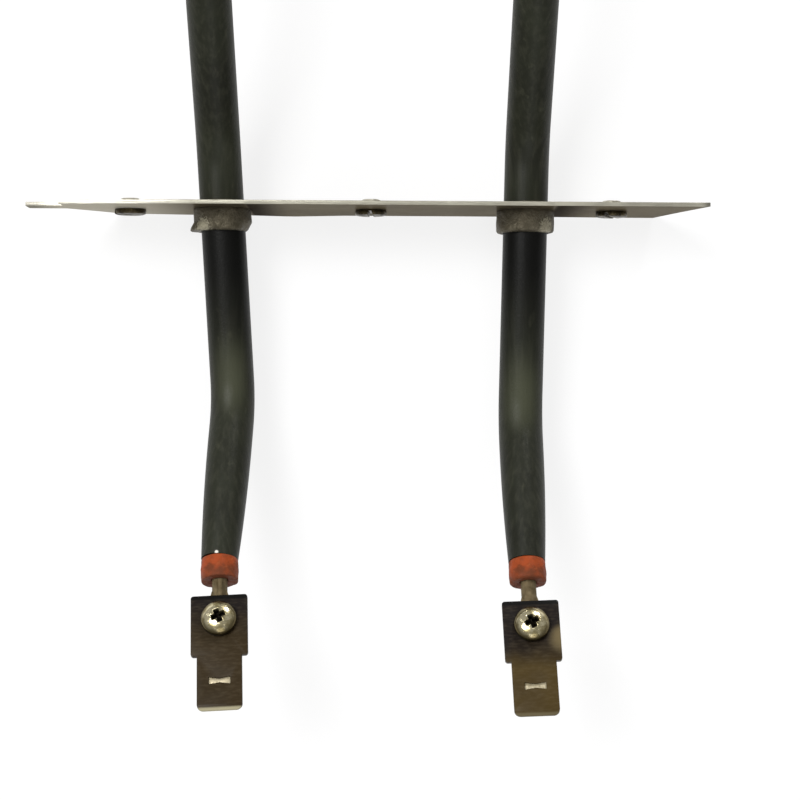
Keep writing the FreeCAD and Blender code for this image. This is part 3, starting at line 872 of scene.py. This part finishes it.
bare_nut, tree, shader = new_finish("nut_nickel", Metallic=0.9)
where = object_place(tree)
cloud = tone(tree, where, 0.6, 0.38, 0.64, 4.0)
nut_colour = mix_paint(tree, cloud, paint("#8f8468"), paint("#5c5039"))
dress(tree, shader, nut_colour, calculate(tree, "MULTIPLY_ADD", cloud, 0.15, 0.25))
bump(tree, shader, tone(tree, where, 4.0, 0.4, 0.7), 0.008)

head_steps = 180
shank_radius = 1.24
nut_steps = 72
nut_bore = 1.28
nut_flats = 5.0
nut_height = 2.0
screw_rings = head_rings(head_level, head_radius, 0.05, 52, head_steps)
for inset, z in ((0.0, 0.35), (0.04, 0.1), (0.12, 0.0), (1.3, 0.0)):
    screw_rings.append(level_ring(head_radius - inset, z, head_steps))
shank = {"top": -0.05, "bottom": -4.3, "pitch": 0.45, "depth": 0.16}
screw_rings += shank_rings(shank_radius, count=head_steps, **shank)

bevel_start = nut_flats / 2 * 0.96
corner = []
for angle in turns_of(nut_steps):
    corner.append(nut_flats / 2 / cos((angle + pi / 6) % (pi / 3) - pi / 6))
nut_rings = []
for top in (False, True):
    z, inward = (nut_height, -1) if top else (0.0, 1)
    chamfer = [z + inward * (r - bevel_start) * 0.5 for r in corner]
    face = [
        [(nut_bore, z + inward * 0.25)] * nut_steps,
        [(nut_bore + 0.22, z)] * nut_steps,
        [(bevel_start, z)] * nut_steps,
        list(zip(corner, chamfer)),
    ]
    for row in face[::-1] if top else face:
        ring = []
        for (r, level), angle in zip(row, turns_of(nut_steps)):
            ring.append(Vector((r * cos(angle), r * sin(angle), level)))
        nut_rings.append(ring)

for side in sides:
    name = "tab_screw_" + side
    seat = eye_place(side, palm_half + tab_thickness)
    screw = skin_of_rings(name + "_turned", screw_rings, seat, screw_finish(side))
    smooth(screw, 45)
    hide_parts(name)
    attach(screw, "root")

    name = "tab_nut_" + side
    seat = eye_place(side, -palm_half - nut_height)
    nut = skin_of_rings(name + "_cut", nut_rings, seat, bare_nut, True)
    smooth(nut, 30)
    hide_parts(name)
    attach(nut, "root")


# Mounting plate
# A thin stainless strip with slanted ends and a tongue at the left. It was cut and bent by
# hand, so it sits a little askew and its left wing is twisted.
plate_thickness = 0.6
plate_screw_pitch = 35.5
plate_screw_hole = 1.82
collar_hole = 4.0
collar_places = []
for side in sides:
    kink, rise = leg_corners(side)[1:3]
    share = (plate_middle_y - kink.y) / (rise.y - kink.y)
    centre = kink + (rise - kink) * share
    collar_places.append((centre.x, centre.z))
plate_corners = [
    (-44.7, 9.0), (48.8, 9.0), (42.8, -9.0), (-38.2, -9.0),
    (-44.7, 1.0), (-50.2, 1.0), (-50.2, 4.5), (-44.7, 4.5),
]


def plate_shift(x, z):
    """How far the real plate's face lies from flat, towards the loop, at a point on it."""
    tilt = -0.0061 * x
    left_wing = share_between(-x, 27.0, 41.0)
    twist = 0.026 * left_wing * (-z - 2.0) * (1 if z < 4 else 0.4)
    beside_collar = -0.02 * max(0.0, 1 - abs(x + 12) / 8) * max(0.0, -z)
    right_wing = -0.006 * share_between(x, 27.0, 37.0) * max(0.0, -z)
    return tilt + twist + beside_collar + right_wing


def plate_finish():
    """Satin stainless steel, brushed along its length, painted light and shade, brown by the
    collars.
    """
    values = {"Specular_IOR_Level": 0.1, "Specular_Tint": (0.3, 0.27, 0.21, 1)}
    material, tree, shader = new_finish("satin_stainless", **values)
    where = object_place(tree)
    split = axes_of(tree, where)
    brushed = tone(tree, where, 7.0, 0.3, 0.72, 3.0, (0.04, 1, 1))
    clouds = tone(tree, where, 0.11, 0.35, 0.7, 3.0)
    # Painted shade: the face gets the darker, shaded copy of the steel.
    colour = mix_paint(tree, clouds, paint("#6f6757"), paint("#5d5544"))
    colour = mix_paint(tree, brushed, colour, paint("#958d7b"), 0.2)
    # Painted light: the left wing and its top edge are painted paler, as they catch more light.
    pale = calculate(tree, "MULTIPLY", ramp(tree, split["X"], -24.0, -36.0), 0.9)
    colour = mix_paint(tree, pale, colour, paint("#d2cec0"))
    brown_beside_collars = 0.0
    # A darker brown patch on the face to the right of each collar, also rougher and less
    # metallic.
    for x, z in collar_places:
        right = ramp(tree, split["X"], x + 3.6, x + 4.4)
        fade = ramp(tree, split["X"], x + 11.0, x + 4.5)
        darkened_zone = calculate(tree, "MULTIPLY", right, fade)
        face = ramp(tree, split["Y"], -0.12, -0.3)
        darkened_zone = calculate(tree, "MULTIPLY", darkened_zone, face)
        brown_beside_collars = calculate(tree, "ADD", darkened_zone, brown_beside_collars)
        colour = mix_paint(tree, darkened_zone, colour, paint("#21180e"), 0.92)
    # Painted light: the top edge gets a lighter, lit copy of the steel than the face.
    top = ramp(tree, split["Z"], 8.85, 8.95)
    strip = mix_paint(tree, clouds, paint("#a6a395"), paint("#8f8c7f"))
    strip = mix_paint(tree, pale, strip, paint("#c9c6ba"))
    colour = mix_paint(tree, top, colour, strip)
    for x, reach in ((-50.0, 5.0), (48.9, 1.5)):
        off = calculate(tree, "ABSOLUTE", calculate(tree, "SUBTRACT", split["X"], x))
        near = ramp(tree, off, reach, 0.3)
        colour = mix_paint(tree, near, colour, paint("#2b2823"), 0.6)
    rough = calculate(tree, "MULTIPLY_ADD", brushed, 0.14, 0.3)
    dress(tree, shader, colour, calculate(tree, "MULTIPLY_ADD", brown_beside_collars, 0.55, rough))
    metallic = calculate(tree, "MULTIPLY_ADD", brown_beside_collars, -0.7, 0.75)
    tree.links.new(metallic, shader.inputs["Metallic"])
    bump(tree, shader, brushed, 0.012)
    return material


outline = bpy.data.curves.new("plate_outline", "CURVE")
outline.dimensions = "2D"
outline.fill_mode = "BOTH"
edge_round = 0.05
outline.extrude = (plate_thickness / 2 - edge_round) * mm
outline.bevel_depth = edge_round * mm
outline.bevel_resolution = 2
outline.offset = -edge_round * mm
loops = [plate_corners]
for x, z in collar_places:
    loops.append([(x + collar_hole * cos(a), z + collar_hole * sin(a)) for a in turns_of(64)])
for number in (-1, 0, 1):
    x, r = number * plate_screw_pitch, plate_screw_hole
    loops.append([(x + r * cos(a), r * sin(a)) for a in turns_of(40)])
for loop in loops:
    spline = outline.splines.new("POLY")
    spline.points.add(len(loop) - 1)
    for point, (x, z) in zip(spline.points, loop):
        point.co = (x * mm, z * mm, 0, 1)
    spline.use_cyclic_u = True
plate = baked(add_object("plate_outline", outline), "mounting_plate_cut")
upright = Matrix.Rotation(radians(90), 4, "X")
plate.data.transform(Matrix.Translation((0, -plate_thickness / 2 * mm, 0)) @ upright)
shape = bmesh.new()
shape.from_mesh(plate.data)
bmesh.ops.remove_doubles(shape, verts=shape.verts, dist=merge_distance * mm)
cuts = (((1, 0, 0), -49, 48, 1.5), ((0, 0, 1), -8, 8, 2.0))
for direction, low, high, step in cuts:
    for number in range(floor((high - low) / step) + 1):
        cut = Vector(direction) * (low + number * step) * mm
        everything = shape.verts[:] + shape.edges[:] + shape.faces[:]
        bmesh.ops.bisect_plane(shape, geom=everything, plane_co=cut, plane_no=direction)
for vertex in shape.verts:
    vertex.co.y += plate_shift(vertex.co.x / mm, vertex.co.z / mm) * mm
bmesh.ops.recalc_face_normals(shape, faces=shape.faces)
shape.to_mesh(plate.data)
shape.free()
plate.data.materials.clear()
plate.data.materials.append(plate_finish())
smooth(plate, 35)
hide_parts("mounting_plate")
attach(plate, "root")


# Plate screws
# Three slotted screws with low rounded heads on the terminal side, each with a shoulder in
# the plate and a short threaded stud behind it, for the wall that the plate is fixed to.
def plate_screw_finish():
    """Head painted dark as shade with paler pits, stud behind the plate painted as lit steel."""
    material, tree, shader = new_finish("dark_screw_steel", Metallic=0.85)
    where = object_place(tree)
    wear = tone(tree, where, 1.1, 0.42, 0.62, 4.0)
    pits = tone(tree, where, 5.0, 0.5, 0.7, 3.0)
    # Painted shade: the head, on the shaded side of the plate, is painted dark.
    colour = mix_paint(tree, wear, paint("#423a26"), paint("#2a2418"))
    along = axes_of(tree, where)["Y"]
    colour = mix_paint(tree, pits, colour, paint("#857b60"), 0.3)
    # Painted light: the stud behind the plate is painted as paler, lit steel.
    stud = mix_paint(tree, wear, paint("#c9c5b6"), paint("#a29d8c"))
    colour = mix_paint(tree, ramp(tree, along, -0.4, -0.1), colour, stud)
    dress(tree, shader, colour, calculate(tree, "MULTIPLY_ADD", wear, 0.2, 0.3))
    bump(tree, shader, pits, 0.01)
    return material


def slotted_screw_skin():
    """One plate screw, its axis on Z, the head's seat at zero and the stud below."""
    head, height, slot_half, slot_depth = 2.32, 0.85, 0.3, 0.6
    shoulder, stud, steps = 1.8, 1.5, 144

    def level(x, y):
        dome = height * (0.72 + 0.28 * sqrt(max(0.0, 1 - (hypot(x, y) / head) ** 6)))
        share = max(0.0, min(1.0, (slot_half - abs(x)) / 0.1 + 0.5))
        return min(dome, dome * (1 - share) + (height - slot_depth) * share)

    rings = head_rings(level, head, 0.04, 34, steps)
    outer = [(head, 0.2), (head - 0.06, 0.02), (head - 0.15, 0)]
    outer += [(shoulder, 0), (shoulder, -0.58), (stud, -plate_thickness)]
    rings += [level_ring(radius, z, steps) for radius, z in outer]
    thread = {"top": -0.62, "bottom": -1.6, "pitch": 0.5, "depth": 0.17}
    return rings + shank_rings(stud, count=steps, **thread)


def repeat_tree():
    """One piece set down on every point, turned by the point's own angle."""
    tree, start, finish = geometry_tree("set_on_points", {"Finish": ""})
    kind = "NodeSocketObject"
    tree.interface.new_socket("Piece", in_out="INPUT", socket_type=kind)
    sockets = {"Object": start.outputs["Piece"], "As Instance": True}
    original = add_node(tree, "GeometryNodeObjectInfo", sockets)
    angle = add_node(tree, "GeometryNodeInputNamedAttribute", {"Name": "turn"}, data_type="FLOAT")
    turned = add_node(tree, "ShaderNodeCombineXYZ", {"Z": angle.outputs[0]})
    facing = add_node(tree, "FunctionNodeEulerToRotation", {0: turned.outputs[0]})
    lying = add_node(tree, "FunctionNodeEulerToRotation", {0: (radians(90), 0, 0)})
    sockets = {"Rotation": lying.outputs[0], "Rotate By": facing.outputs[0]}
    both = add_node(tree, "FunctionNodeRotateRotation", sockets, rotation_space="LOCAL")
    cloud = add_node(tree, "GeometryNodeMeshToPoints", {"Mesh": start.outputs["Geometry"]})
    sockets = {
        "Points": cloud.outputs[0], "Instance": original.outputs["Geometry"],
        "Rotation": both.outputs[0],
    }
    placed = add_node(tree, "GeometryNodeInstanceOnPoints", sockets)
    return finished_tree(tree, start, finish, placed.outputs[0])


slot_angles = (68, 3, 24)
screw_steel = plate_screw_finish()
pattern = skin_of_rings("plate_screw_pattern", slotted_screw_skin(), None, screw_steel)
spots = bpy.data.meshes.new("plate_screw_spots")
heads = []
for x in (-plate_screw_pitch, 0.0, plate_screw_pitch):
    heads.append((x * mm, (plate_shift(x, 0.0) - plate_thickness) * mm, 0))
spots.from_pydata(heads, [], [])
turn = spots.attributes.new("turn", "FLOAT", "POINT")
turn.data.foreach_set("value", [radians(angle) for angle in slot_angles])
spots_object = add_object("plate_screw_spots", spots)
set_inputs(spots_object, repeat_tree(), {"Piece": pattern, "Finish": screw_steel})
plate_screws = baked(spots_object, "plate_screws_set")
bpy.data.objects.remove(pattern)
smooth(plate_screws, 40)
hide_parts("plate_screw_left", "plate_screw_middle", "plate_screw_right")
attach(plate_screws, "root")


# Collars
# A thick steel ring is crimped round each leg on the plate's terminal side, and its neck is
# flared over behind the plate. The crimping leaves dents and a torn rim, and each collar
# has a lighter patch near its foot.
def collar_finish():
    """Dull brown-grey steel with a lighter patch on each collar."""
    material, tree, shader = new_finish("crimped_steel", Metallic=0.6, Specular_IOR_Level=0.4)
    where = object_place(tree)
    patches = tone(tree, where, 0.35, 0.45, 0.6, 5.0)
    rust = tone(tree, where, 1.3, 0.4, 0.62, 5.0)
    grit = tone(tree, where, 4.0, 0.35, 0.7, 4.0)
    colour = mix_paint(tree, rust, paint("#575142"), paint("#494334"))
    colour = mix_paint(tree, patches, colour, paint("#6d6553"), 0.2)
    colour = mix_paint(tree, grit, colour, paint("#2b271f"), 0.15)
    # A lighter, ragged patch near the foot of each collar.
    for spot in ((-24.7, -3.1, 3.2), (25.6, -3.2, 2.6)):
        ragged = calculate(tree, "MULTIPLY_ADD", grit, 0.9, distance_from(tree, where, spot))
        colour = mix_paint(tree, ramp(tree, ragged, 2.0, 1.1), colour, paint("#a39d88"), 0.8)
    dress(tree, shader, colour, calculate(tree, "MULTIPLY_ADD", grit, 0.2, 0.42))
    bump(tree, shader, calculate(tree, "ADD", patches, grit), 0.05, 0.8)
    return material


collar_radius = 4.35
collar_length = 3.3
neck_radius = 3.82
collar_steel = collar_finish()
bite_angles = {"left": 25, "right": 170}
for side, (x, z) in zip(sides, collar_places):
    kink, rise = leg_corners(side)[1:3]
    heading = (rise - kink).normalized()
    seat = -plate_thickness
    foot = seat - collar_length
    bore = tube_radius + 0.04
    outline = [(bore, foot + 0.12), (bore + 0.25, foot + 0.02)]
    outline += [(4.0, foot + 0.04), (4.22, foot + 0.14), (collar_radius, foot + 0.4)]
    outline += [(collar_radius, y) for y in steps_between(foot + 0.8, seat - 0.2, 9)]
    outline += [(4.3, seat - 0.03), (neck_radius, seat - 0.02), (neck_radius, -0.3)]
    outline += [(4.1, 0.02), (4.08, 0.22), (3.9, 0.5), (3.7, 0.62)]
    outline += [(bore + 0.12, 0.64), (bore, 0.5)]
    rings = []
    for radius, y in outline:
        ring = []
        for angle in turns_of(128):
            bumps = noise.noise(Vector((3 * cos(angle), y * 0.8, 3 * sin(angle))) * 0.8)
            outer = share_between(radius, bore, bore + 0.7) if y < seat else 0.0
            low = share_between(-y, -foot - 1.4, -foot)
            dent = 0.0
            for number in range(4):
                centre = radians(bite_angles[side] + 90 * number)
                off = abs((angle - centre + pi) % (2 * pi) - pi) * collar_radius
                dent = max(dent, max(0.0, 1 - (off / 1.3) ** 2) * max(0.0, 1 - (y - foot) / 1.5))
            flare = 0.0
            if side == "left":
                flare = 0.75 * max(0.0, -cos(angle)) ** 3 - 0.7 * max(0.0, cos(angle)) ** 3
            r = radius - outer * (0.1 + 0.1 * bumps + 0.32 * dent * low - 1.2 * low * flare)
            ragged = max(0.0, noise.noise(Vector((6 * cos(angle), 6 * sin(angle), 3))))
            lie = y + low * outer * 0.28 * ragged
            drift = heading * (lie / heading.y)
            ring.append(Vector((x + drift.x + r * cos(angle), lie, z + drift.z + r * sin(angle))))
        rings.append(ring)
    collar = skin_of_rings("collar_" + side + "_crimped", rings, None, collar_steel, True)
    collar.data.transform(Matrix.Translation((0, plate_shift(x, 0) * mm, 0)))
    smooth(collar, 50)
    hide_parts("collar_" + side)
    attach(collar, "root")
